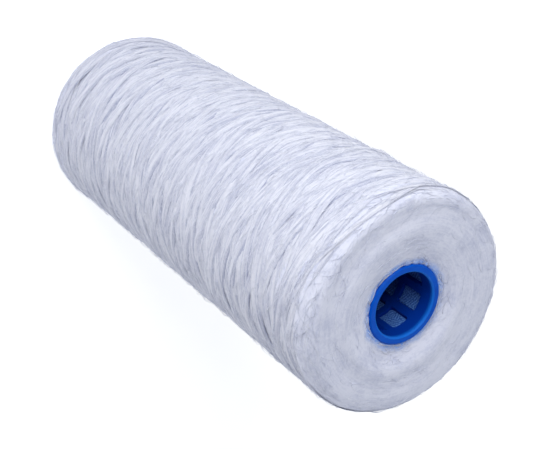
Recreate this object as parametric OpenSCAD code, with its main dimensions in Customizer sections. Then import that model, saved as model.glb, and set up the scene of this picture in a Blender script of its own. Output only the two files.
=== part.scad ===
// String-wound depth filter cartridge.
// One long strand of yarn is wound in crossing helices on a perforated plastic
// core, and water flows inwards through the yarn and out of the core's bore.
// Millimetres. +Z runs along the cartridge and the origin is the centre of its
// lower end face.

/* [Winding] */
// Outside diameter over the last turns of yarn
winding_d = 99; // [96:1:115]
// Length over the two yarn end faces
winding_l = 254; // [240:1:260]
// Radius of the rounded shoulders
shoulder_r = 5; // [3:0.5:6]
// Diameter over the tight inner zone of the winding
inner_zone_d = 52; // [44:1:56]
// Diameter over the middle zone of the winding
middle_zone_d = 76; // [66:1:80]
// Inner diameter of the flat ring that a housing's seal presses on
seal_face_d = 60; // [58:1:64]

/* [Core] */
// Bore of the core
bore_d = 28.6; // [26:0.2:30]
// Outside diameter of the core
core_d = 35; // [33:0.5:38]
// How far each end of the core lies below the yarn's end face
core_recess = 3; // [1:0.5:5]
// Length of the plain stretch at each end of the core
collar_l = 7.2; // [6:0.2:10]
// Length of the thick flange at each end of the core
flange_l = 5; // [3:0.5:6]
// Outside diameter of the thinner stretches that have the windows
lattice_d = 32; // [31.6:0.1:33]
// Chamfer on the edges of the core's end faces
mouth_chamfer = 0.6; // [0.2:0.1:0.9]

/* [Core windows] */
// Windows round the core
window_columns = 8; // [6:2:8]
// Rows of windows in each half of the core
window_rows = 8; // [5:1:9]
// Width of a window
window_w = 7.7; // [5:0.1:8]
// Corner radius of a window
window_corner_r = 1; // [0.5:0.1:2]
// Width of the hoop between two rows of windows
hoop_w = 2.9; // [2:0.1:4]

/* [Core joint] */
// Plain band on each half where the two halves meet
joint_band_l = 4.2; // [4:0.1:6]
// Length of the spigot on the lower half
spigot_l = 3; // [2:0.1:3.4]
// Radial and end clearance of the spigot in its socket
spigot_gap = 0.1; // [0.05:0.05:0.3]

/* [Last wrap] */
// Width of the flattened strand
strand_w = 4.6; // [3:0.1:6]
// Thickness of the flattened strand
strand_t = 1.4; // [1:0.1:2]
// Turns that the last wrap makes round the winding
wrap_turns = 1.25; // [1.1:0.05:2]
// Distance that the strand climbs in one turn
wrap_lead = 55; // [40:1:70]
// Height of the tucked end of the strand
wrap_end_z = 238; // [200:1:240]
// Direction of the tucked end, counted from +X towards +Y
wrap_end_angle = 120; // [0:5:355]

/* [Hidden] */
$fn = 96;
bore_r = bore_d / 2;
core_r = core_d / 2;
lattice_r = lattice_d / 2;
winding_r = winding_d / 2;
seal_face_r = seal_face_d / 2;
middle_z = winding_l / 2;
core_half_l = middle_z - core_recess;
window_l = (core_half_l - collar_l - joint_band_l - (window_rows - 1) * hoop_w) / window_rows;
spigot_r = (bore_r + core_r) / 2;
socket_r = spigot_r + spigot_gap;
socket_l = spigot_l + spigot_gap;
cut_margin = 1;

// The last wrap lies on the outer zone, just clear of it
wound_r = winding_r - strand_t;
wrap_gap = 0.1;
wrap_rings = 80;
wrap_sides = 10;
wrap_r = wound_r + (strand_t + wrap_gap) / 2;
wrap_angle = atan(wrap_lead / (2 * PI * wrap_r));
// Share of the wrap over which each of its ends tapers, and its thickness there
taper_share = 0.03;
tip_scale = 0.25;

core_colour = [0.02, 0.27, 0.72];
yarn_colour = [0.90, 0.91, 0.96];

// Rectangle with round corners, centred
module rounded_rectangle(w, h, r) {
    square([w - 2 * r, h], center = true);
    square([w, h - 2 * r], center = true);
    for (x = [-1, 1], y = [-1, 1])
        translate([x * (w / 2 - r), y * (h / 2 - r)]) circle(r);
}

// Prisms that cut every window of one half; end_z is the middle of the row next
// to the collar and step is the distance to the next row
module window_cutters(end_z, step) {
    for (row = [0 : window_rows - 1], column = [0 : window_columns / 2 - 1])
        translate([0, 0, end_z + row * step])
            rotate([90, 0, column * 360 / window_columns])
                linear_extrude(height = core_d + 2 * cut_margin, center = true)
                    rounded_rectangle(window_w, window_l, window_corner_r);
}

module core_lower_half() {
    low_z = core_recess;
    color(core_colour) difference() {
        rotate_extrude() polygon([
            [bore_r + mouth_chamfer, low_z],
            [core_r - mouth_chamfer, low_z],
            [core_r, low_z + mouth_chamfer],
            [core_r, low_z + flange_l],
            [lattice_r, low_z + flange_l],
            [lattice_r, middle_z - joint_band_l],
            [core_r, middle_z - joint_band_l],
            [core_r, middle_z],
            [spigot_r, middle_z],
            [spigot_r, middle_z + spigot_l],
            [bore_r, middle_z + spigot_l],
            [bore_r, low_z + mouth_chamfer]
        ]);
        window_cutters(low_z + collar_l + window_l / 2, window_l + hoop_w);
    }
}

module core_upper_half() {
    top_z = winding_l - core_recess;
    color(core_colour) difference() {
        rotate_extrude() polygon([
            [bore_r + mouth_chamfer, top_z],
            [core_r - mouth_chamfer, top_z],
            [core_r, top_z - mouth_chamfer],
            [core_r, top_z - flange_l],
            [lattice_r, top_z - flange_l],
            [lattice_r, middle_z + joint_band_l],
            [core_r, middle_z + joint_band_l],
            [core_r, middle_z],
            [socket_r, middle_z],
            [socket_r, middle_z + socket_l],
            [bore_r, middle_z + socket_l],
            [bore_r, top_z - mouth_chamfer]
        ]);
        window_cutters(top_z - collar_l - window_l / 2, -window_l - hoop_w);
    }
}

// How far the dished end face lies below the flat seal ring at radius r
function dish(r) = core_recess * max(0, seal_face_r - r) / (seal_face_r - core_r);

// The inner zone fills the space behind the core's flanges and joint band
module yarn_inner_zone() {
    zone_r = inner_zone_d / 2;
    flange_end = core_recess + flange_l;
    color(yarn_colour) rotate_extrude() polygon([
        [core_r, dish(core_r)],
        [zone_r, dish(zone_r)],
        [zone_r, winding_l - dish(zone_r)],
        [core_r, winding_l - dish(core_r)],
        [core_r, winding_l - flange_end],
        [lattice_r, winding_l - flange_end],
        [lattice_r, middle_z + joint_band_l],
        [core_r, middle_z + joint_band_l],
        [core_r, middle_z - joint_band_l],
        [lattice_r, middle_z - joint_band_l],
        [lattice_r, flange_end],
        [core_r, flange_end]
    ]);
}

module yarn_middle_zone() {
    low_r = inner_zone_d / 2;
    high_r = middle_zone_d / 2;
    color(yarn_colour) rotate_extrude() polygon([
        [low_r, dish(low_r)],
        [seal_face_r, 0],
        [high_r, 0],
        [high_r, winding_l],
        [seal_face_r, winding_l],
        [low_r, winding_l - dish(low_r)]
    ]);
}

module yarn_outer_zone() {
    low_r = middle_zone_d / 2;
    color(yarn_colour) rotate_extrude() {
        translate([low_r, 0])
            square([wound_r - shoulder_r - low_r, winding_l]);
        translate([low_r, shoulder_r])
            square([wound_r - low_r, winding_l - 2 * shoulder_r]);
        for (z = [shoulder_r, winding_l - shoulder_r])
            translate([wound_r - shoulder_r, z]) circle(shoulder_r);
    }
}

// Share of the strand's full section at t, which runs from 0 to 1 along the wrap
function taper(t) = max(tip_scale, min(1, sqrt(min(t, 1 - t) / taper_share)));

// A point of the strand's skin: t along the wrap, side round the flat section
function wrap_point(t, side) =
    let (
        turned = wrap_end_angle - 360 * wrap_turns * (1 - t),
        z = wrap_end_z - wrap_lead * wrap_turns * (1 - t),
        across = strand_w / 2 * taper(t) * cos(side),
        out = wrap_r + (strand_t - wrap_gap) / 2 * taper(t) * sin(side),
        along = -across * sin(wrap_angle)
    )
    [
        out * cos(turned) - along * sin(turned),
        out * sin(turned) + along * cos(turned),
        z + across * cos(wrap_angle)
    ];

module yarn_last_wrap() {
    points = [
        for (ring = [0 : wrap_rings - 1], side = [0 : wrap_sides - 1])
            wrap_point(ring / (wrap_rings - 1), 360 * side / wrap_sides)
    ];
    skin = [
        for (ring = [0 : wrap_rings - 2], side = [0 : wrap_sides - 1])
            let (
                a = ring * wrap_sides + side,
                b = ring * wrap_sides + (side + 1) % wrap_sides
            )
            each [[a, b, b + wrap_sides], [a, b + wrap_sides, a + wrap_sides]]
    ];
    first_cap = [[for (side = [wrap_sides - 1 : -1 : 0]) side]];
    last_cap = [[for (side = [0 : wrap_sides - 1]) (wrap_rings - 1) * wrap_sides + side]];
    color(yarn_colour) polyhedron(concat(points), concat(skin, first_cap, last_cap));
}

core_lower_half();
core_upper_half();
yarn_inner_zone();
yarn_middle_zone();
yarn_outer_zone();
yarn_last_wrap();
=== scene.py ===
"""Looks of a string-wound filter cartridge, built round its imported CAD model.

The winding is laid as the real one is: one strand goes round and up and down, and each turn
drapes over the turns below it. A grid of heights over the winding's outline remembers what has
been laid. The early turns shape the felted body, and the last ones are real strands on top.

Arrays named angle are in radians from +X towards +Y. Arrays named arc are distances in metres
along the winding's outline, counted from mid height: up the side, over the shoulder and in
across the upper end face when positive, and the same way down when negative.
"""
import math

import bpy
import numpy as np
from mathutils import Matrix, Vector


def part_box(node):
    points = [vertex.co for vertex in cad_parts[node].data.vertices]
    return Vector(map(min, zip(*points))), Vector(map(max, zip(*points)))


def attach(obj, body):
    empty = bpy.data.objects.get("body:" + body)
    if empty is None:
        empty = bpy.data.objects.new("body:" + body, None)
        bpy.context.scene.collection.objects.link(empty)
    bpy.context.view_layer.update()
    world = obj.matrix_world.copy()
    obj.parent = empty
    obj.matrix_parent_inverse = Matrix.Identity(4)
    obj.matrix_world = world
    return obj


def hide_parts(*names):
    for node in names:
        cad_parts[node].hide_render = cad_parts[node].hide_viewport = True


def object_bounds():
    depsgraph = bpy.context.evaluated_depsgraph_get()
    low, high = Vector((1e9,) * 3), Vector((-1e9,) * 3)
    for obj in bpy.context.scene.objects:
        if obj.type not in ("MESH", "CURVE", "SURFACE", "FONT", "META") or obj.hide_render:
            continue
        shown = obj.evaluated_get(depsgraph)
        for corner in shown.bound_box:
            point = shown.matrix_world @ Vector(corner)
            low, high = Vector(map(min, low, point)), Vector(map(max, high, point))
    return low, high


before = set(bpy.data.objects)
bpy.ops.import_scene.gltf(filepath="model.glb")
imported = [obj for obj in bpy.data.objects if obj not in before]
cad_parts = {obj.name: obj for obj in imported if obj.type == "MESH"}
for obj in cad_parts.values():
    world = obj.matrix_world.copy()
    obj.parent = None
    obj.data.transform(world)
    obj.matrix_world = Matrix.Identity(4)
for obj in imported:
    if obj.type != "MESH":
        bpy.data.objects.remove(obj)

MM = 0.001
cad_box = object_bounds()

# Sizes, from the frame
core_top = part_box("core_upper_half")[1]
core_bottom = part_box("core_lower_half")[0]
core_r = core_top.x
top_z = cad_box[1].z
mid_z = top_z / 2
wound_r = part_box("yarn_outer_zone")[1].x
wrap_low, wrap_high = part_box("yarn_last_wrap")

# Sizes repeated from the CAD model
lattice_r = 16 * MM
flange_l = 5 * MM
joint_band_l = 4.2 * MM
bore_r = 14.3 * MM
seal_face_r = 30 * MM
shoulder_r = 5 * MM
wrap_turns = 1.25
wrap_end_angle = math.radians(120)
wrap_w = 4.6 * MM

# The outline that the yarn is laid on, a little inside the CAD solid: a straight side, a round
# shoulder, a low crown, and a dish that meets the core a little below its end face
LAID_DEPTH = 0.5 * MM
FACE_RELIEF = 0.1 * MM
FACE_TILT = math.radians(10)
LIP_DROP = 0.9 * MM
LIP_BAND = 2.5 * MM
RIM_R = core_r + 0.05 * MM
RIM_Z = core_top.z - mid_z - LIP_DROP
SIDE_R = wound_r - LAID_DEPTH
FLAT_R = SIDE_R - shoulder_r
SHOULDER_TOP_R = FLAT_R + shoulder_r * math.sin(FACE_TILT)
CROWN_Z = mid_z - FACE_RELIEF
CROWN_RISE = math.tan(FACE_TILT) * (SHOULDER_TOP_R - seal_face_r) / 2
SIDE_END = CROWN_Z - CROWN_RISE - shoulder_r * math.cos(FACE_TILT)
SHOULDER_ARC = shoulder_r * (math.pi / 2 - FACE_TILT)

# The strand. A stroke takes it up the side and back down
STRAND_W = 5.6 * MM
STRAND_T = 0.64 * MM
STROKES = 12
TURNS_PER_STROKE = 9 + 5 / 12
REVERSAL_ROUNDING = 4.5 * MM
REVERSAL_ARC = -1 * MM
LAY_STEP = 0.4 * MM
LAY_CHUNK = 300
RING_STEP = 6
STRAND_PIECES = 6

# The felt, which the last courses sink into near the ends
FELT_END = 9 * MM
FELT_LIFT = 0.9 * MM
FELT_FILL = 0.42 * MM
FACE_SWELL = 0.36 * MM
RAGGED_RIM = 0.45 * MM

# The first yarn round the core, which lines its windows
LINING_R = 18.2 * MM
LINING_LEAD = 56 * MM
LINING_COURSES = 14
LINING_LINES = 42


# ---------------------------------------------------------------- noise and outline

def smooth_step(value):
    value = np.clip(value, 0, 1)
    return value * value * (3 - 2 * value)


def wander(along, period, seed):
    """Smooth random values from -1 to 1 that change over about one period."""
    knots = np.random.default_rng(seed).uniform(-1, 1, int(along.max() / period) + 3)
    place_in_row = along / period
    low = np.floor(place_in_row).astype(int)
    part = smooth_step(place_in_row - low)
    return knots[low] * (1 - part) + knots[low + 1] * part


def half_outline():
    """Arc length, radius, height above mid height and normal along the upper half."""
    shoulder_points = 25
    crown_points = 30
    dish_points = 40
    samples = 4000
    points = [(SIDE_R, 0.0)]
    for turn in np.linspace(0, math.pi / 2 - FACE_TILT, shoulder_points):
        points.append((FLAT_R + shoulder_r * math.cos(turn), SIDE_END + shoulder_r * math.sin(turn)))
    for r in np.linspace(SHOULDER_TOP_R, seal_face_r, crown_points)[1:]:
        away = (r - seal_face_r) / (SHOULDER_TOP_R - seal_face_r)
        points.append((r, CROWN_Z - CROWN_RISE * away * away))
    for r in np.linspace(seal_face_r, RIM_R, dish_points)[1:]:
        fall = (seal_face_r - r) / (seal_face_r - RIM_R)
        points.append((r, CROWN_Z - (CROWN_Z - RIM_Z) * smooth_step(fall)))
    points = np.array(points)
    steps = np.linalg.norm(np.diff(points, axis=0), axis=1)
    arc = np.concatenate([[0], np.cumsum(steps)])
    fine_arc = np.linspace(0, arc[-1], samples)
    r = np.interp(fine_arc, arc, points[:, 0])
    z = np.interp(fine_arc, arc, points[:, 1])
    along_r = np.gradient(r, fine_arc)
    along_z = np.gradient(z, fine_arc)
    size = np.hypot(along_r, along_z)
    return fine_arc, r, z, along_z / size, -along_r / size


OUT_ARC, OUT_R, OUT_Z, OUT_NORMAL_R, OUT_NORMAL_Z = half_outline()
ARC_END = OUT_ARC[-1]


def radius_at(arc):
    return np.interp(np.abs(arc), OUT_ARC, OUT_R)


def normal_at(angle, arc):
    out = np.interp(np.abs(arc), OUT_ARC, OUT_NORMAL_R)
    up = np.interp(np.abs(arc), OUT_ARC, OUT_NORMAL_Z) * np.where(arc < 0, -1.0, 1.0)
    return np.stack([out * np.cos(angle), out * np.sin(angle), up], axis=-1)


def place(angle, arc, height):
    """Points at a height over the outline, as an array that ends in x, y, z.

    Points below the plane that the cartridge stands on are moved up to it."""
    r = radius_at(arc)
    z = mid_z + np.interp(np.abs(arc), OUT_ARC, OUT_Z) * np.where(arc < 0, -1.0, 1.0)
    points = np.stack([r * np.cos(angle), r * np.sin(angle), z], axis=-1)
    points += normal_at(angle, arc) * np.asarray(height)[..., None]
    points[..., 2] = np.maximum(points[..., 2], 0.0)
    return points


# ---------------------------------------------------------------- laying yarn

class LaidYarn:
    """Height of the yarn laid so far, on a grid of arc length by angle."""

    def __init__(self):
        self.cell = 0.4 * MM
        self.columns = 900
        self.rows = int(2 * ARC_END / self.cell) + 2
        self.height = np.zeros((self.rows, self.columns))
        self.arc = np.arange(self.rows) * self.cell - ARC_END

    def copy(self):
        other = LaidYarn()
        other.height = self.height.copy()
        return other

    def read(self, angle, arc):
        """The height at any place, from the four cells round it."""
        short_of_last_row = self.rows - 1.001
        row = np.clip((arc + ARC_END) / self.cell, 0, short_of_last_row)
        column = (angle / math.tau * self.columns) % self.columns
        row_low = row.astype(int)
        column_low = column.astype(int) % self.columns
        column_high = (column_low + 1) % self.columns
        row_part = row - row_low
        column_part = column - np.floor(column)
        h = self.height
        low = h[row_low, column_low] * (1 - column_part) + h[row_low, column_high] * column_part
        high = h[row_low + 1, column_low] * (1 - column_part) + h[row_low + 1, column_high] * column_part
        return low * (1 - row_part) + high * row_part

    def raise_to(self, angle, arc, height):
        """Raises the nearest cells to a height, where they are lower than it."""
        row = np.clip(np.rint((arc + ARC_END) / self.cell).astype(int), 0, self.rows - 1)
        column = np.rint(angle / math.tau * self.columns).astype(int) % self.columns
        np.maximum.at(self.height, (row, column), height)

    def soften(self, times, rows=slice(None)):
        """Felts the surface: each cell moves halfway to the mean of its four neighbours."""
        for _ in range(times):
            h = self.height
            around = np.roll(h, 1, axis=1) + np.roll(h, -1, axis=1)
            up = np.vstack([h[1:], h[-1:]])
            down = np.vstack([h[:1], h[:-1]])
            self.height[rows] = (0.5 * h + 0.125 * (around + up + down))[rows]

    def settle(self):
        """Brings the mean height back to the outline: over the whole side, and row by row past it."""
        on_side = np.abs(self.arc) < SIDE_END
        self.height[on_side] -= self.height[on_side].mean()
        self.height[~on_side] -= self.height[~on_side].mean(axis=1, keepdims=True)


def crown_at(share):
    """Height of a strand's top at a share of its half width, as a share of its thickness.

    The top's shape is between an ellipse and a parabola."""
    parabola = 1 - share * share
    return 0.35 * np.sqrt(np.clip(parabola, 0, 1)) + 0.65 * parabola


def across(angle, arc, heading, distance):
    """The place at a distance sideways from a path, along the surface."""
    return angle - distance * np.sin(heading) / radius_at(arc), arc + distance * np.cos(heading)


def heading_of(angle, arc):
    """The direction of a path on the surface: 0 is level round the axis, and positive is upwards."""
    return np.arctan2(np.gradient(arc), np.gradient(angle) * radius_at(arc))


def lay(yarn, angle, arc, width, thickness, chunk):
    """Lays a strand piece by piece over the yarn below it. Returns its underside's height.

    The strand feels what lies a few steps ahead, at some places across its width, and follows it
    with a delay, because it is stiff."""
    heading = heading_of(angle, arc)
    under = np.zeros_like(angle)
    ahead = 5
    follow = 0.12
    felt_at = (-0.36, -0.12, 0.12, 0.36)
    tracks = np.linspace(-0.97, 0.97, 27)
    level = None
    for start in range(0, len(angle), chunk):
        part = slice(start, min(start + chunk, len(angle)))
        looked = np.minimum(np.arange(part.start, part.stop) + ahead, len(angle) - 1)
        felt = np.zeros(part.stop - part.start)
        for share in felt_at:
            side = across(angle[looked], arc[looked], heading[looked], share * width[looked])
            felt += yarn.read(*side) / len(felt_at)
        for i, value in enumerate(felt):
            level = value if level is None else level + follow * (value - level)
            under[start + i] = level
        for share in tracks:
            side = across(angle[part], arc[part], heading[part], share * width[part] / 2)
            yarn.raise_to(*side, under[part] + thickness[part] * crown_at(share))
    return under


def winding_path(first_turn, seed):
    """Angle, arc and turns so far of one strand that covers the side once in each direction."""
    turns = STROKES * TURNS_PER_STROKE
    count = int(turns * math.tau * wound_r / LAY_STEP)
    turn = np.linspace(0, turns, count)
    half_stroke = 2 * turn / TURNS_PER_STROKE
    nearest = np.rint(half_stroke)
    reach = SIDE_END + REVERSAL_ARC
    away = 2 * reach * np.abs(half_stroke - nearest)
    spare = reach + REVERSAL_ROUNDING - math.hypot(reach, REVERSAL_ROUNDING)
    arc = reach + REVERSAL_ROUNDING - np.hypot(away, REVERSAL_ROUNDING) - spare * away / reach
    arc = np.where(nearest % 2 == 1, arc, -arc)
    reach_drift = 0.014 * wander(half_stroke, 1.0, seed)
    slow_drift = 0.8 * MM * wander(turn, 0.37, seed + 1)
    quick_drift = 0.3 * MM * wander(turn, 0.09, seed + 2)
    arc *= 1 + reach_drift
    arc += slow_drift + quick_drift
    return math.tau * (turn + first_turn), arc, turn


def lay_face_arcs(yarn, count, seed):
    """Short arcs of yarn across both end faces, where the strand turned back."""
    random = np.random.default_rng(seed)
    off_core = 0.8 * MM
    taper_share = 0.25
    thinnest = 0.02
    inner = OUT_ARC[np.argmin(np.abs(OUT_R - core_r - off_core))]
    for side in (-1, 1):
        for i in range(count):
            start = random.uniform(0, math.tau)
            span = random.uniform(0.6, 2.6)
            from_arc = random.uniform(SIDE_END - FELT_END, inner)
            drift = random.uniform(-3, 3) * MM
            radius = float(radius_at(from_arc))
            points = max(12, int(span * radius / LAY_STEP))
            t = np.linspace(0, 1, points)
            angle = start + span * t
            wavy = 0.5 * MM * wander(t, 0.3, seed + 7 * i + side)
            arc = side * (from_arc + drift * (t - 0.5) + wavy)
            ends = np.sqrt(np.clip(np.minimum(t, 1 - t) / taper_share, thinnest, 1))
            width = random.uniform(1.6, 3.6) * MM * np.ones(points)
            thickness = random.uniform(0.10, 0.26) * MM * ends
            lay(yarn, angle, arc, width, thickness, points)


def felt_lift(arc):
    """How far the felt stands up between the last courses.

    It is most at the shoulders, and nothing further in on the end faces."""
    near_end = smooth_step((np.abs(arc) - SIDE_END + FELT_END) / (0.7 * FELT_END))
    past_end = smooth_step((np.abs(arc) - SIDE_END - 0.5 * SHOULDER_ARC) / (1.6 * SHOULDER_ARC))
    return FELT_FILL * (1 - past_end) + (FELT_LIFT - FELT_FILL) * near_end * (1 - past_end)


def swell(angle, arc):
    """Slow rises and hollows of the felt, from waves of random slant."""
    random = np.random.default_rng(60)
    height = np.zeros(np.broadcast(angle, arc).shape)
    for waves in (1, 2, 3, 4, 5, 6, 7):
        phase = random.uniform(0, math.tau) + arc * random.uniform(-0.5, 0.5) / MM
        height += random.uniform(-1, 1) * np.sin(waves * angle + phase) / math.sqrt(waves)
    return height


def lay_first_cover(yarn):
    """Lays the turns below the last cover and the arcs across the end faces, and felts the ends."""
    angle, arc, turn = winding_path(first_turn=0.0, seed=100)
    width = STRAND_W * (1 + 0.13 * wander(turn, 0.12, seed=103))
    thickness = STRAND_T * (1 + 0.2 * wander(turn, 0.08, seed=104))
    lay(yarn, angle, arc, width, thickness, LAY_CHUNK)
    yarn.settle()
    lay_face_arcs(yarn, count=300, seed=500)
    yarn.settle()
    yarn.soften(times=8, rows=np.abs(yarn.arc) > SIDE_END - 0.5 * FELT_END)


def felted(yarn):
    """A softer, higher copy of the laid yarn: the felt between the last courses and at the ends."""
    felt = yarn.copy()
    felt.soften(times=2)
    felt.height += felt_lift(felt.arc)[:, None]
    angle = np.arange(felt.columns) / felt.columns * math.tau
    past_shoulder = smooth_step((np.abs(felt.arc) - SIDE_END) / SHOULDER_ARC)[:, None]
    felt.height += FACE_SWELL * past_shoulder * swell(angle[None, :], felt.arc[:, None])
    return felt


# ---------------------------------------------------------------- meshes

def make_piece(name, grids, uvs=None, closed=False):
    """A piece from grids of points, with a smooth skin over each grid.

    A grid's columns close on themselves. Its rows do too where closed is true, and elsewhere its
    first and last rows are capped. Each uv has one more column than its grid."""
    loops = []
    starts = []
    picked = []
    first = 0
    total = 0
    for number, grid in enumerate(grids):
        rows, columns = grid.shape[:2]
        row, column = np.meshgrid(np.arange(rows if closed else rows - 1), np.arange(columns), indexing="ij")
        next_row = (row + 1) % rows
        next_column = (column + 1) % columns
        corners = np.stack([row * columns + column, row * columns + next_column,
                            next_row * columns + next_column, next_row * columns + column], axis=-1)
        loops.append(first + corners.ravel())
        starts.append(total + np.arange(0, corners.size, 4))
        total += corners.size
        if uvs is not None:
            uv = uvs[number]
            picked.append(np.stack([uv[row, column], uv[row, column + 1],
                                    uv[row + 1, column + 1], uv[row + 1, column]], axis=2).reshape(-1, 2))
        if not closed:
            for cap in (np.arange(columns)[::-1], (rows - 1) * columns + np.arange(columns)):
                loops.append(first + cap)
                starts.append([total])
                total += columns
                if uvs is not None:
                    picked.append(np.zeros((columns, 2)))
        first += rows * columns
    points = np.concatenate([grid.reshape(-1, 3) for grid in grids])
    loops = np.concatenate(loops)
    starts = np.concatenate(starts)
    mesh = bpy.data.meshes.new(name)
    mesh.vertices.add(len(points))
    mesh.vertices.foreach_set("co", points.ravel().astype(np.float32))
    mesh.loops.add(len(loops))
    mesh.loops.foreach_set("vertex_index", loops.astype(np.int32))
    mesh.polygons.add(len(starts))
    mesh.polygons.foreach_set("loop_start", starts.astype(np.int32))
    mesh.polygons.foreach_set("use_smooth", np.ones(len(starts), bool))
    if uvs is not None:
        layer = mesh.uv_layers.new(name="strand")
        layer.data.foreach_set("uv", np.concatenate(picked).ravel().astype(np.float32))
    mesh.update(calc_edges=True)
    mesh.validate()
    piece = bpy.data.objects.new(name, mesh)
    bpy.context.scene.collection.objects.link(piece)
    return piece


def finish_piece(piece, material, slot_name, *nodes):
    """Gives a piece its material and body, and hides the CAD solids that it stands for. The slot name is not
    used.
    """
    piece.data.materials.append(material)
    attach(piece, "root")
    if nodes:
        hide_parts(*nodes)


def strand_grid(angle, arc, under, width, thickness, along, seed):
    """Points and texture coordinates of a flattened, grooved strand along a path.

    The coordinates are millimetres along the strand, and across it from its middle."""
    top = np.cos(np.linspace(math.pi, 0, 15))
    bottom = np.array([0.6, 0.0, -0.6])
    bottom_height = -0.45
    groove_depth = 0.16 * MM
    groove_l = 14 * MM
    shares = np.concatenate([top, bottom])
    crowns = np.concatenate([crown_at(top), np.full(len(bottom), bottom_height)])
    heading = heading_of(angle, arc)
    rings = len(angle)
    points = np.zeros((rings, len(shares), 3))
    for j, (share, crown) in enumerate(zip(shares, crowns)):
        grooved = min(1.0, 1.6 * max(0.0, crown))
        groove = groove_depth * wander(along, groove_l, seed + j) * grooved
        side = across(angle, arc, heading, share * width / 2)
        points[:, j] = place(*side, under + thickness * crown + groove)
    around = np.concatenate([shares, [-1.0]])
    uv = np.zeros((rings, len(shares) + 1, 2))
    uv[:, :, 0] = (along / MM)[:, None]
    uv[:, :, 1] = around[None, :] * (STRAND_W / 2 / MM)
    return points, uv


def strand_pieces(yarn, seed):
    """Lays the last cover of yarn and makes it as real strands."""
    angle, arc, turn = winding_path(first_turn=0.31, seed=seed)
    along = turn * math.tau * wound_r
    width = STRAND_W * (1 + 0.2 * wander(along, 38 * MM, seed + 3))
    thickness = STRAND_T * (1 + 0.32 * wander(along, 24 * MM, seed + 4))
    thickness *= 1 - 0.6 * smooth_step((np.abs(arc) - SIDE_END + FELT_END) / FELT_END)
    under = lay(yarn, angle, arc, width, thickness, LAY_CHUNK)
    rings = np.arange(0, len(angle), RING_STEP)
    points, uv = strand_grid(angle[rings], arc[rings], under[rings], width[rings], thickness[rings],
                             along[rings], seed + 10)
    pieces = []
    cuts = np.linspace(0, len(rings) - 1, STRAND_PIECES + 1).astype(int)
    for i in range(STRAND_PIECES):
        part = slice(cuts[i], cuts[i + 1] + 1)
        pieces.append(make_piece(f"yarn_courses_{i + 1}", [points[part]], [uv[part]]))
    return pieces


def shoulder_piece(name, yarn, side, count, seed):
    """Strands that turn back over one shoulder, each tucked in at both ends."""
    random = np.random.default_rng(seed)
    taper_share = 0.2
    tuck_depth = 0.35 * MM
    grids = []
    uvs = []
    for i in range(count):
        peak = SIDE_END + random.uniform(-5 * MM, 0.3 * SHOULDER_ARC)
        span = random.uniform(0.9, 2.0)
        depth = random.uniform(3, 7) * MM * span
        points = int(span * wound_r / LAY_STEP)
        t = np.linspace(0, 1, points)
        angle = random.uniform(0, math.tau) + span * t
        wavy = 0.4 * MM * wander(t, 0.25, seed + 11 * i + 3)
        arc = side * (peak - depth * (2 * t - 1) ** 2 + wavy)
        ends = smooth_step(np.minimum(t, 1 - t) / taper_share)
        width = random.uniform(2.2, 4.6) * MM * (0.45 + 0.55 * ends)
        thickness = random.uniform(0.10, 0.18) * MM * (0.3 + 0.7 * ends)
        tuck = tuck_depth * (1 - ends)
        under = lay(yarn, angle, arc, width, thickness - tuck, points) - tuck
        rings = np.arange(0, points, RING_STEP)
        streaks_start = 40 * i * MM
        along = span * wound_r * t[rings] + streaks_start
        grid, uv = strand_grid(angle[rings], arc[rings], under[rings], width[rings], thickness[rings],
                               along, seed + 900 + 20 * i)
        grids.append(grid)
        uvs.append(uv)
    return make_piece(name, grids, uvs)


def tail_piece(yarn, seed):
    """The last turns of the strand, which come up from below the others and end melted flat."""
    tucked_l = 16 * MM
    melted_l = 9 * MM
    lead = (wrap_high.z - wrap_low.z - wrap_w) / wrap_turns
    length = wrap_turns * math.hypot(lead, math.tau * wound_r)
    points = int(length / LAY_STEP)
    t = np.linspace(0, 1, points)
    along = t * length
    angle = wrap_end_angle - math.tau * wrap_turns * (1 - t)
    climb_left = lead * wrap_turns * (1 - t)
    arc = wrap_high.z - wrap_w / 2 - mid_z - climb_left + 0.5 * MM * wander(along, 45 * MM, seed)
    start = smooth_step(along / tucked_l)
    end = np.clip((length - along) / melted_l, 0, 1)
    width = wrap_w * (1 + 0.1 * wander(along, 30 * MM, seed + 1)) * (0.6 + 0.4 * np.sqrt(end))
    thickness = STRAND_T * 1.15 * (1 + 0.15 * wander(along, 20 * MM, seed + 2)) * (0.25 + 0.75 * end)
    tuck = STRAND_T * (1 - start)
    under = lay(yarn, angle, arc, width, thickness - tuck, points) - tuck
    rings = np.arange(0, points, RING_STEP)
    grid, uv = strand_grid(angle[rings], arc[rings], under[rings], width[rings], thickness[rings],
                           along[rings], seed + 10)
    return make_piece("yarn_tail", [grid], [uv])


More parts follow.
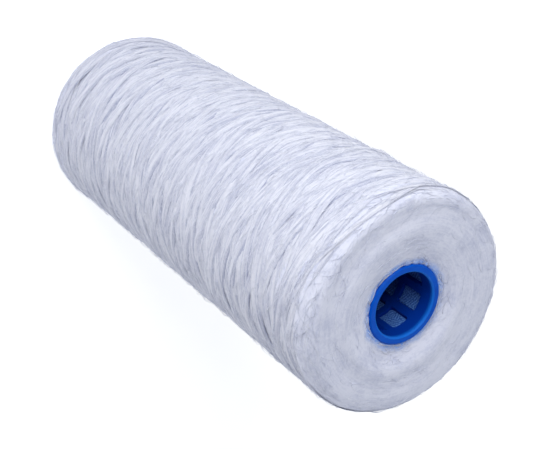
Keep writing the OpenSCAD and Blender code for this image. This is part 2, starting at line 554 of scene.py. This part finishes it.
def fibre_piece(name, yarn, count, low_arc, high_arc, lift, seed):
    """Loose fibres that stand a little off the yarn between two places along its outline.

    Most are loops that come back to the yarn, and the others have a free end."""
    random = np.random.default_rng(seed)
    rings = 5
    sides = 3
    slant = math.radians(10)
    edge_margin = 0.6 * MM
    sunk = 0.04 * MM
    loop_share = 0.75
    t = np.linspace(0, 1, rings)[None, :]
    start_angle = random.uniform(0, math.tau, (count, 1))
    start_arc = low_arc + (high_arc - low_arc) * random.uniform(0, 1, (count, 1))
    length = random.uniform(2.5, 10, (count, 1)) * MM
    family = random.choice([-1, 1], (count, 1)) * slant
    bend = random.normal(0, 0.9, (count, 1))
    heading = family + random.normal(0, 0.32, (count, 1)) + bend * (t - 0.5)
    step = length / (rings - 1)
    arc = start_arc + np.cumsum(np.sin(heading), axis=1) * step
    arc = np.clip(arc, -ARC_END + edge_margin, ARC_END - edge_margin)
    angle = start_angle + np.cumsum(np.cos(heading), axis=1) * step / radius_at(arc)
    radius = random.uniform(0.05, 0.12, (count, 1)) * MM
    rise = np.minimum(random.exponential(lift, (count, 1)), 3 * lift)
    looped = random.uniform(0, 1, (count, 1)) < loop_share
    shape = np.where(looped, np.sin(math.pi * t), t * t)
    height = yarn.read(angle, arc) - sunk + rise * shape
    centre = place(angle, arc, height)
    ahead = np.gradient(centre, axis=1)
    ahead /= np.linalg.norm(ahead, axis=2, keepdims=True)
    normal = normal_at(angle, arc)
    beside = np.cross(normal, ahead)
    grids = np.zeros((count, rings, sides, 3))
    taper = 1 - 0.6 * t * t
    for i in range(sides):
        turned = math.tau * i / sides
        outward = math.cos(turned) * beside + math.sin(turned) * normal
        grids[:, :, i] = centre + (radius * taper)[..., None] * outward
    return make_piece(name, grids)


def felt_body(height):
    """The closed body under the last courses, round the lining of the bore."""
    columns = 380
    side_rows = 50
    end_step = 0.46 * MM
    fray_l = 1.3 * MM
    rim_t = 0.8 * MM
    core_gap = 0.06 * MM
    side_end = SIDE_END - FELT_END
    side = np.linspace(-side_end, side_end, side_rows)
    end = np.linspace(side_end, ARC_END, int((ARC_END - side_end) / end_step))[1:]
    arc = np.concatenate([-end[::-1], side, end])
    angle = np.arange(columns) / columns * math.tau
    arc_grid, angle_grid = np.meshgrid(arc, angle, indexing="ij")
    from_rim = np.clip((ARC_END - np.abs(arc_grid)) / LIP_BAND, 0, 1)
    ragged = RAGGED_RIM * wander(angle_grid * core_r, fray_l, seed=61)
    lift = height.read(angle_grid, arc_grid) * from_rim + ragged * (1 - from_rim)
    outer = place(angle_grid, arc_grid, lift)
    under_rim = core_top.z - LIP_DROP - rim_t
    inner = [(core_r + core_gap, under_rim), (LINING_R, under_rim - 1 * MM)]
    inner += [(r, top_z - z) for r, z in reversed(inner)]
    wall = np.array([[(r * math.cos(a), r * math.sin(a), z) for a in angle] for r, z in inner])
    return make_piece("yarn_felt_body", [np.concatenate([outer, wall])], closed=True)


def bore_lining():
    """The first courses round the core, which show through its windows."""
    columns = 320
    rows = 168
    clearance = 0.08 * MM
    relief = 0.4 * MM
    other_share = 0.92
    below_lip = 1.4 * MM
    end_z = core_top.z - LIP_DROP - below_lip
    wall_z = np.linspace(end_z, top_z - end_z, rows)
    angle = np.arange(columns) / columns * math.tau
    z_grid, angle_grid = np.meshgrid(wall_z, angle, indexing="ij")
    turned = LINING_COURSES * angle_grid / math.tau
    climbed = LINING_COURSES * z_grid / LINING_LEAD
    one = np.abs(np.sin(math.pi * (turned - climbed)))
    other = np.abs(np.sin(math.pi * (turned + climbed + 0.5)))
    from_end = np.minimum(z_grid, top_z - z_grid) - core_bottom.z
    beside_flange = np.clip((flange_l - from_end) / MM + 0.5, 0, 1)
    beside_joint = np.clip((joint_band_l - np.abs(z_grid - mid_z)) / MM + 0.5, 0, 1)
    clear_of_core = (core_r - lattice_r) * np.maximum(beside_flange, beside_joint)
    wall_r = lattice_r + clearance + clear_of_core + relief * (1 - np.maximum(one, other * other_share))
    wall = np.stack([wall_r * np.cos(angle_grid), wall_r * np.sin(angle_grid), z_grid], axis=-1)
    back = np.array([[(LINING_R * math.cos(a), LINING_R * math.sin(a), z) for a in angle]
                     for z in (top_z - end_z, end_z)])
    return make_piece("yarn_bore_lining", [np.concatenate([wall, back])], closed=True)


# ---------------------------------------------------------------- materials

def new_material(name):
    material = bpy.data.materials.new(name)
    material.use_nodes = True
    nodes = material.node_tree.nodes
    return material, material.node_tree, nodes["Principled BSDF"]


def math_node(tree, operation, *values):
    node = tree.nodes.new("ShaderNodeMath")
    node.operation = operation
    for socket, value in zip(node.inputs, values):
        if isinstance(value, (int, float)):
            socket.default_value = value
        else:
            tree.links.new(value, socket)
    return node.outputs[0]


def weighted(tree, *pairs):
    """The sum of several values, each times its weight."""
    total = math_node(tree, "MULTIPLY", *pairs[0])
    for value, weight in pairs[1:]:
        total = math_node(tree, "MULTIPLY_ADD", value, weight, total)
    return total


def falling(tree, value, most):
    """The most where value is 0, and nothing where it is 1."""
    return math_node(tree, "MULTIPLY_ADD", value, -most, most)


def ramp_up(tree, value, start, end):
    """0 before start and 1 past end, with a smooth change between them."""
    node = tree.nodes.new("ShaderNodeMapRange")
    node.interpolation_type = "SMOOTHSTEP"
    tree.links.new(value, node.inputs["Value"])
    node.inputs["From Min"].default_value = start
    node.inputs["From Max"].default_value = end
    return node.outputs["Result"]


def noise(tree, vector, scale, detail, w=None):
    node = tree.nodes.new("ShaderNodeTexNoise")
    node.inputs["Scale"].default_value = scale
    node.inputs["Detail"].default_value = detail
    node.inputs["Roughness"].default_value = 0.6
    if w is not None:
        node.noise_dimensions = "4D"
        tree.links.new(w, node.inputs["W"])
    tree.links.new(vector, node.inputs["Vector"])
    return node.outputs["Fac"]


def scaled(tree, vector, scale):
    node = tree.nodes.new("ShaderNodeMapping")
    node.inputs["Scale"].default_value = scale
    tree.links.new(vector, node.inputs["Vector"])
    return node.outputs[0]


def two_tone(tree, factor, low, high, start, end):
    """The low colour where factor is below start, the high one past end, and between them a mix."""
    ramp = tree.nodes.new("ShaderNodeValToRGB")
    ramp.color_ramp.elements[0].position = start
    ramp.color_ramp.elements[0].color = (*low, 1)
    ramp.color_ramp.elements[1].position = end
    ramp.color_ramp.elements[1].color = (*high, 1)
    tree.links.new(factor, ramp.inputs["Fac"])
    return ramp.outputs["Color"]


def mixed(tree, factor, colour, tint):
    """A colour that turns into a tint as factor goes from 0 to 1."""
    node = tree.nodes.new("ShaderNodeMix")
    node.data_type = "RGBA"
    tree.links.new(factor, node.inputs["Factor"])
    tree.links.new(colour, node.inputs["A"])
    node.inputs["B"].default_value = (*tint, 1)
    return node.outputs["Result"]


def bump(tree, height, distance, strength):
    node = tree.nodes.new("ShaderNodeBump")
    node.inputs["Distance"].default_value = distance
    node.inputs["Strength"].default_value = strength
    tree.links.new(height, node.inputs["Height"])
    return node.outputs["Normal"]


def model_place(tree):
    """The place on the model of the point that is shaded, in metres."""
    return tree.nodes.new("ShaderNodeTexCoord").outputs["Object"]


def split(tree, vector):
    node = tree.nodes.new("ShaderNodeSeparateXYZ")
    tree.links.new(vector, node.inputs[0])
    return node.outputs


def radius_of(tree, x, y):
    """Distance from the axis."""
    squares = (math_node(tree, "MULTIPLY", value, value) for value in (x, y))
    return math_node(tree, "SQRT", math_node(tree, "ADD", *squares))


YARN_LIGHT = (0.675, 0.69, 0.785)
YARN_DARK = (0.32, 0.345, 0.49)
FELT_LIGHT = (0.69, 0.71, 0.835)
FELT_DARK = (0.47, 0.50, 0.66)
FIBRE_LIGHT = (0.77, 0.79, 0.89)
FIBRE_DARK = (0.58, 0.61, 0.75)
# Painted light and shade: the white lining yarn is coloured blue for light from the core, and dark for the
# shade in the bore
LINING_LIGHT = (0.13, 0.30, 0.72)
LINING_DARK = (0.02, 0.085, 0.36)
# Painted blue light from the core, on the white yarn beside it
PAINTED_CORE_BLUE_LIGHT = (0.06, 0.26, 0.78)
CORE_LIGHT = (0.0, 0.095, 0.58)
CORE_DARK = (0.0, 0.070, 0.48)
# Painted shade inside the bore
CORE_PAINTED_SHADE = (0.0, 0.020, 0.25)
# Painted highlight along the inner edge of the core's ends
CORE_PAINTED_HIGHLIGHT = (0.01, 0.16, 0.66)
PAPER_LIGHT = (0.97, 0.97, 0.97)
PAPER_DARK = (0.95, 0.95, 0.95)
SKY_COLOUR = (0.92, 0.945, 1.0)
KEY_COLOUR = (1.0, 1.0, 0.97)
COOL_COLOUR = (0.9, 0.95, 1.0)


def yarn_surface(material_name, roughness):
    material, tree, shader = new_material(material_name)
    shader.inputs["Roughness"].default_value = roughness
    shader.inputs["Specular IOR Level"].default_value = 0.3
    shader.inputs["Sheen Weight"].default_value = 0.2
    return material, tree, shader


def strand_material():
    """White roving: fibres run along each strand, and painted shade makes each strand a little darker
    towards its edges.
    """
    material, tree, shader = yarn_surface("yarn_strand", roughness=0.8)
    uv_node = tree.nodes.new("ShaderNodeUVMap")
    uv_node.uv_map = "strand"
    uv = uv_node.outputs["UV"]
    streaks = noise(tree, scaled(tree, uv, (0.032, 0.85, 1)), scale=1.0, detail=3)
    fibres = noise(tree, scaled(tree, uv, (0.10, 3.1, 1)), scale=1.0, detail=3)
    broad = noise(tree, scaled(tree, uv, (0.022, 0.2, 1)), scale=1.0, detail=2)
    half_w = STRAND_W / 2 / MM
    from_middle = math_node(tree, "ABSOLUTE", split(tree, uv)[1])
    # Painted shade: the colour darkens towards each strand's edges, where shade falls between strands.
    edge = ramp_up(tree, from_middle, start=0.55 * half_w, end=half_w)
    lint = noise(tree, model_place(tree), scale=1 / (1.2 * MM), detail=3)
    tone = weighted(tree, (streaks, 0.34), (fibres, 0.30), (broad, 0.28), (lint, 0.12), (edge, -0.05))
    colour = two_tone(tree, tone, YARN_DARK, YARN_LIGHT, start=0.40, end=0.56)
    tree.links.new(colour, shader.inputs["Base Color"])
    relief = weighted(tree, (streaks, 0.45), (fibres, 0.4), (lint, 0.15))
    tree.links.new(bump(tree, relief, distance=0.8 * MM, strength=0.6), shader.inputs["Normal"])
    return material


def felt_material():
    """Felted yarn: fibres run round the axis, and the yarn beside the core has painted blue light, for the
    core's light reflected onto it and through it.
    """
    material, tree, shader = yarn_surface("yarn_felt", roughness=0.85)
    here = model_place(tree)
    x, y, z = split(tree, here)
    hoop_w = 4.5 * MM
    hoop_t = 1.5 * MM
    fine_hoop_t = 0.5 * MM
    radius = radius_of(tree, x, y)
    turned = tree.nodes.new("ShaderNodeCombineXYZ")
    tree.links.new(math_node(tree, "DIVIDE", x, radius), turned.inputs[0])
    tree.links.new(math_node(tree, "DIVIDE", y, radius), turned.inputs[1])
    tree.links.new(math_node(tree, "MULTIPLY", z, 1 / hoop_w), turned.inputs[2])
    hoops = noise(tree, scaled(tree, turned.outputs[0], (2.5, 2.5, 1)), scale=1.0, detail=3,
                  w=math_node(tree, "MULTIPLY", radius, 1 / hoop_t))
    fine_hoops = noise(tree, scaled(tree, turned.outputs[0], (6, 6, 2)), scale=1.0, detail=3,
                       w=math_node(tree, "MULTIPLY", radius, 1 / fine_hoop_t))
    felt = noise(tree, here, scale=1 / (7 * MM), detail=4)
    lint = noise(tree, here, scale=1 / (1.2 * MM), detail=3)
    clouds = noise(tree, here, scale=1 / (16 * MM), detail=2)
    tone = weighted(tree, (hoops, 0.2), (fine_hoops, 0.2), (felt, 0.2), (lint, 0.2), (clouds, 0.2))
    colour = two_tone(tree, tone, FELT_DARK, FELT_LIGHT, start=0.36, end=0.54)
    # Painted blue light: near the core the colour turns blue, for light from the blue core reflected onto
    # and through the thin yarn.
    uneven_radius = math_node(tree, "MULTIPLY_ADD", felt, -5 * MM, radius)
    outside_core = ramp_up(tree, uneven_radius, start=core_r - 2.6 * MM, end=core_r + 1.4 * MM)
    with_painted_core_light = mixed(tree, falling(tree, outside_core, 0.8), colour, PAINTED_CORE_BLUE_LIGHT)
    tree.links.new(with_painted_core_light, shader.inputs["Base Color"])
    relief = weighted(tree, (hoops, 0.45), (fine_hoops, 0.3), (lint, 0.25))
    tree.links.new(bump(tree, relief, distance=0.3 * MM, strength=0.4), shader.inputs["Normal"])
    return material


def lining_material():
    """Yarn behind the core's windows: fibres in two slants, painted blue for light from the core and dark
    for the shade in the bore.
    """
    material, tree, shader = yarn_surface("yarn_lining", roughness=0.85)
    shader.inputs["Sheen Weight"].default_value = 0.0
    shader.inputs["Specular IOR Level"].default_value = 0.1
    here = model_place(tree)
    x, y, z = split(tree, here)
    angle = math_node(tree, "ARCTAN2", y, x)
    lines = []
    for slant in (-1, 1):
        turned = weighted(tree, (angle, LINING_LINES), (z, slant * LINING_LINES * math.tau / LINING_LEAD))
        lines.append(math_node(tree, "SINE", turned))
    patches = noise(tree, here, scale=1 / (5 * MM), detail=2)
    grain = noise(tree, here, scale=1 / (0.6 * MM), detail=3)
    chosen = ramp_up(tree, patches, start=0.47, end=0.53)
    first_lines = math_node(tree, "MULTIPLY", lines[0], chosen)
    other_lines = math_node(tree, "MULTIPLY", lines[1], math_node(tree, "SUBTRACT", 1.0, chosen))
    tone = weighted(tree, (first_lines, 0.10), (other_lines, 0.10), (grain, 0.95))
    # Painted blue light and painted shade of the bore, varied by the fibre lines and grain.
    colour = two_tone(tree, tone, LINING_DARK, LINING_LIGHT, start=0.33, end=0.72)
    tree.links.new(colour, shader.inputs["Base Color"])
    tree.links.new(bump(tree, tone, distance=0.25 * MM, strength=0.5), shader.inputs["Normal"])
    return material


def fibre_material():
    material, tree, shader = yarn_surface("yarn_fibre", roughness=0.7)
    mottle = noise(tree, model_place(tree), scale=1 / (3 * MM), detail=2)
    colour = two_tone(tree, mottle, FIBRE_DARK, FIBRE_LIGHT, start=0.35, end=0.65)
    tree.links.new(colour, shader.inputs["Base Color"])
    return material


def core_material():
    """Moulded polypropylene, with painted shade inside the bore and a painted highlight along the inner edge
    of its ends.
    """
    material, tree, shader = new_material("core_plastic")
    here = model_place(tree)
    x, y, z = split(tree, here)
    flow = noise(tree, scaled(tree, here, (1, 1, 0.25)), scale=1 / (5 * MM), detail=3)
    grain = noise(tree, here, scale=1 / (0.5 * MM), detail=3)
    half_l = core_top.z - mid_z
    from_middle = math_node(tree, "ABSOLUTE", math_node(tree, "SUBTRACT", z, mid_z))
    at_end = ramp_up(tree, from_middle, start=half_l - 2.5 * MM, end=half_l - 0.5 * MM)
    # Painted shade: the core is darker inside the bore, away from its ends.
    inside = math_node(tree, "SUBTRACT", 1.0, at_end)
    # Painted highlight: paler along the inner edge of the core's ends, where the chamfer catches the light.
    past_rim = ramp_up(tree, radius_of(tree, x, y), start=bore_r + 0.5 * MM, end=bore_r + 0.8 * MM)
    colour = two_tone(tree, flow, CORE_DARK, CORE_LIGHT, start=0.3, end=0.7)
    colour = mixed(tree, falling(tree, past_rim, 0.7), colour, CORE_PAINTED_HIGHLIGHT)
    colour = mixed(tree, math_node(tree, "MULTIPLY", inside, 0.9), colour, CORE_PAINTED_SHADE)
    tree.links.new(colour, shader.inputs["Base Color"])
    tree.links.new(bump(tree, grain, distance=0.04 * MM, strength=0.25), shader.inputs["Normal"])
    smoothest = (0.36, 0.36, 0.36)
    roughest = (0.48, 0.48, 0.48)
    roughness = two_tone(tree, grain, smoothest, roughest, start=0.35, end=0.65)
    tree.links.new(roughness, shader.inputs["Roughness"])
    shader.inputs["Specular IOR Level"].default_value = 0.08
    return material


def floor_material():
    """White paper, lit a little from behind."""
    material, tree, shader = new_material("floor_paper")
    grain = noise(tree, model_place(tree), scale=60, detail=3)
    colour = two_tone(tree, grain, PAPER_DARK, PAPER_LIGHT, start=0.3, end=0.7)
    tree.links.new(colour, shader.inputs["Base Color"])
    shader.inputs["Roughness"].default_value = 0.9
    shader.inputs["Emission Color"].default_value = (1, 1, 1, 1)
    shader.inputs["Emission Strength"].default_value = 0.44
    return material


# ---------------------------------------------------------------- stage, light and camera

def direction(azimuth, elevation):
    """A unit vector. Azimuth 0 is towards -Y, and a quarter turn is towards +X."""
    level = math.cos(elevation)
    return Vector((math.sin(azimuth) * level, -math.cos(azimuth) * level, math.sin(elevation)))


def make_camera():
    """The photograph's view: from above the upper end, with the camera rolled."""
    distance = 321.7 * MM
    above = 279.8 * MM
    stand_azimuth = math.radians(29.93)
    look_azimuth = math.radians(29.39)
    look_down = math.radians(49.44)
    roll = math.radians(124.55)
    data = bpy.data.cameras.new("camera")
    data.sensor_width = 36
    data.lens = 70.19
    data.clip_start = 10 * MM
    camera = bpy.data.objects.new("camera", data)
    position = Vector((distance * math.sin(stand_azimuth), -distance * math.cos(stand_azimuth),
                       top_z + above))
    backward = direction(look_azimuth, look_down)
    facing = backward.to_track_quat("Z", "Y").to_matrix().to_4x4()
    camera.matrix_world = Matrix.Translation(position) @ facing @ Matrix.Rotation(roll, 4, "Z")
    bpy.context.scene.collection.objects.link(camera)
    bpy.context.scene.camera = camera


def area_light(name, azimuth, elevation, distance, aim_z, size, power, colour):
    """A soft light that faces a point on the axis. Its direction from there is in degrees."""
    data = bpy.data.lights.new(name, "AREA")
    data.size = size
    data.energy = power
    data.color = colour
    light = bpy.data.objects.new(name, data)
    toward = direction(math.radians(azimuth), math.radians(elevation))
    light.location = Vector((0, 0, aim_z)) + toward * distance
    light.rotation_euler = toward.to_track_quat("Z", "Y").to_euler()
    bpy.context.scene.collection.objects.link(light)


def make_world():
    """A pale sky, brighter near the horizon than above."""
    light_above = 0.30
    light_at_horizon = 0.80
    world = bpy.data.worlds.new("studio")
    world.use_nodes = True
    tree = world.node_tree
    background = tree.nodes["Background"]
    background.inputs["Color"].default_value = (*SKY_COLOUR, 1)
    up = split(tree, tree.nodes.new("ShaderNodeTexCoord").outputs["Generated"])[2]
    above = ramp_up(tree, up, start=0.15, end=0.55)
    light = math_node(tree, "MULTIPLY_ADD", above, light_above - light_at_horizon, light_at_horizon)
    tree.links.new(light, background.inputs["Strength"])
    bpy.context.scene.world = world


def make_stage():
    bpy.context.scene.view_settings.view_transform = "Standard"
    make_world()
    bpy.ops.mesh.primitive_plane_add(size=40)
    floor = bpy.context.active_object
    floor.name = "floor"
    floor.data.materials.append(floor_material())
    area_light("key", azimuth=0, elevation=29, distance=0.65, aim_z=top_z,
               size=0.4, power=3.1, colour=KEY_COLOUR)
    area_light("side", azimuth=-20, elevation=15, distance=1.6, aim_z=mid_z,
               size=0.9, power=1.0, colour=COOL_COLOUR)
    area_light("edge", azimuth=165, elevation=25, distance=0.65, aim_z=top_z,
               size=0.4, power=0.6, colour=COOL_COLOUR)
    area_light("back", azimuth=215, elevation=66, distance=1.6, aim_z=mid_z,
               size=0.9, power=1.3, colour=COOL_COLOUR)
    area_light("low_back", azimuth=200, elevation=12, distance=1.6, aim_z=mid_z,
               size=0.9, power=6.0, colour=COOL_COLOUR)


# ---------------------------------------------------------------- the model

laid = LaidYarn()
lay_first_cover(laid)
felt_heights = felted(laid)

strand = strand_material()
felt = felt_material()
finish_piece(bore_lining(), lining_material(), "yarn", "yarn_inner_zone")
finish_piece(felt_body(felt_heights), felt, "yarn", "yarn_middle_zone")
for course in strand_pieces(laid, seed=200):
    finish_piece(course, strand, "yarn", "yarn_outer_zone")
laid.height = np.maximum(laid.height, felt_heights.height)
for end, side, seed in (("lower", -1, 300), ("upper", 1, 400)):
    shoulder = shoulder_piece(f"yarn_shoulder_{end}", laid, side, count=14, seed=seed)
    finish_piece(shoulder, strand, "yarn", "yarn_outer_zone")
finish_piece(tail_piece(laid, seed=700), strand, "yarn", "yarn_last_wrap")

# Loose fibres: how many in each half, between which arcs, and about how far they stand off
fibre = fibre_material()
shoulder_end = SIDE_END + SHOULDER_ARC
shoulder_low = SIDE_END - FELT_END / 2
for name, count, low_arc, high_arc, lift in (
        ("side", 5200, 0, shoulder_low, 0.5 * MM),
        ("shoulder", 1100, shoulder_low, shoulder_end, 0.35 * MM),
        ("face", 240, shoulder_end, ARC_END, 0.08 * MM),
        ("lip", 160, ARC_END - LIP_BAND, ARC_END, 0.2 * MM)):
    for number, (end, sign) in enumerate((("upper", 1), ("lower", -1))):
        fibres = fibre_piece(f"yarn_fibres_{end}_{name}", laid, count, sign * low_arc, sign * high_arc,
                             lift, seed=800 + count + number)
        finish_piece(fibres, fibre, "yarn")

plastic = core_material()
for node_name in ("core_lower_half", "core_upper_half"):
    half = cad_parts[node_name]
    half.data.materials.clear()
    half.data.materials.append(plastic)

make_stage()
make_camera()
